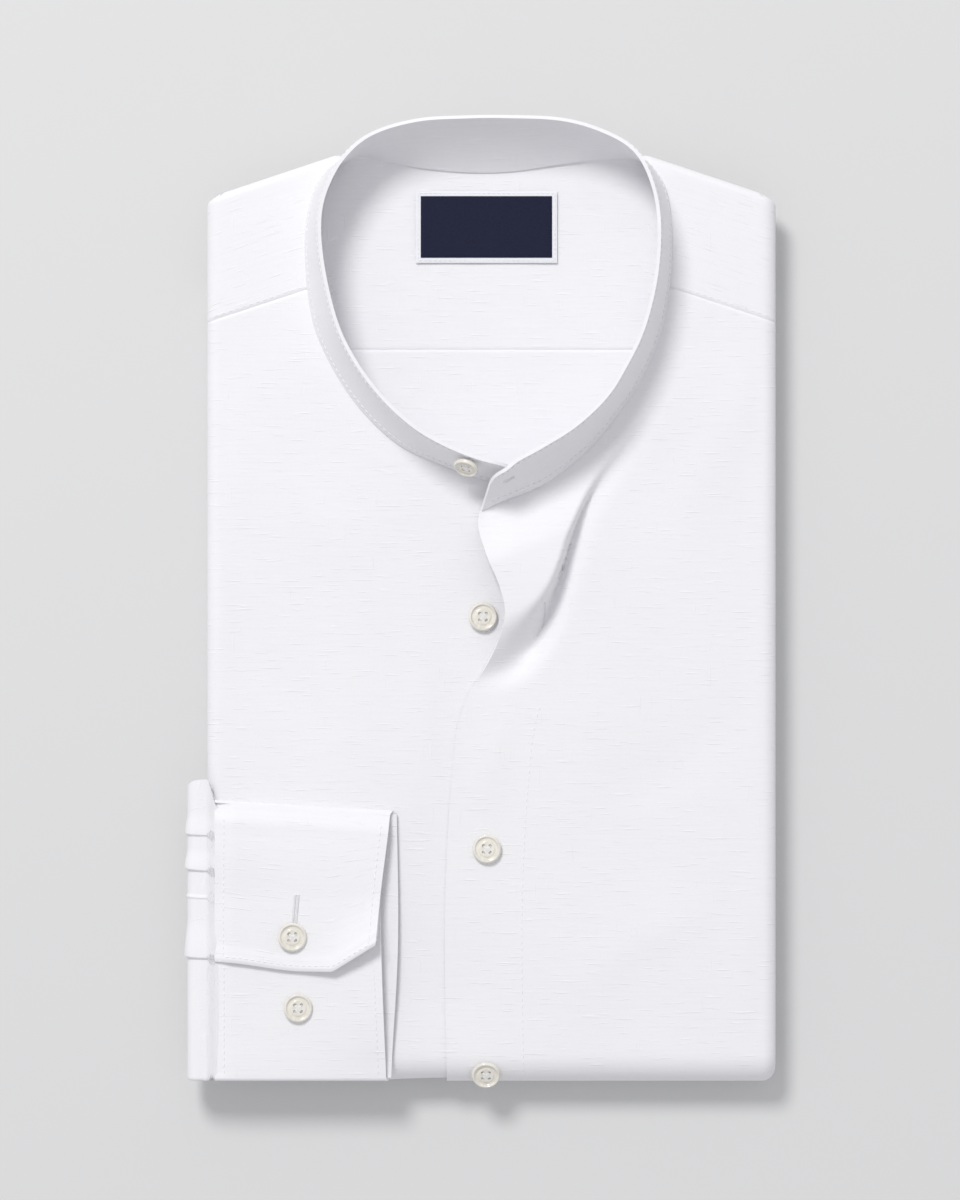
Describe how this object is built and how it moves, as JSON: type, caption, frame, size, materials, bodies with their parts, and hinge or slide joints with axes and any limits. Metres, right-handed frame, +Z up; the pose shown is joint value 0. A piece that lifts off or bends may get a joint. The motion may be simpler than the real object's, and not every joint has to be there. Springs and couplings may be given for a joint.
{
  "type": "folded collarless shirt",
  "caption": "White linen collarless shirt with a band neck, folded flat with a cuff brought to the front, lying on its back.",
  "frame": {"origin": "middle of the part's box, on the surface that the folded shirt lies on", "axes": "+Z up out of the front of the shirt, +Y from the bottom fold to the neck, +X to the wearer's left"},
  "size_m": [0.2326, 0.3831, 0.046],
  "materials": {
    "linen": "white plain-weave linen with slubs",
    "label": "white woven label base",
    "patch": "bare navy woven patch",
    "button": "pearly off-white, polished"
  },
  "bodies": {
    "root": {"right_front": "linen", "left_front": "linen", "yoke": "linen", "back": "linen", "neck_band": "linen", "right_sleeve": "linen", "right_cuff": "linen", "folded_layers": "linen", "label_base": "label", "label_patch": "patch", "band_button": "button", "front_button_2": "button", "front_button_3": "button", "front_button_4": "button", "cuff_button_1": "button", "cuff_button_2": "button"}
  },
  "joints": []
}
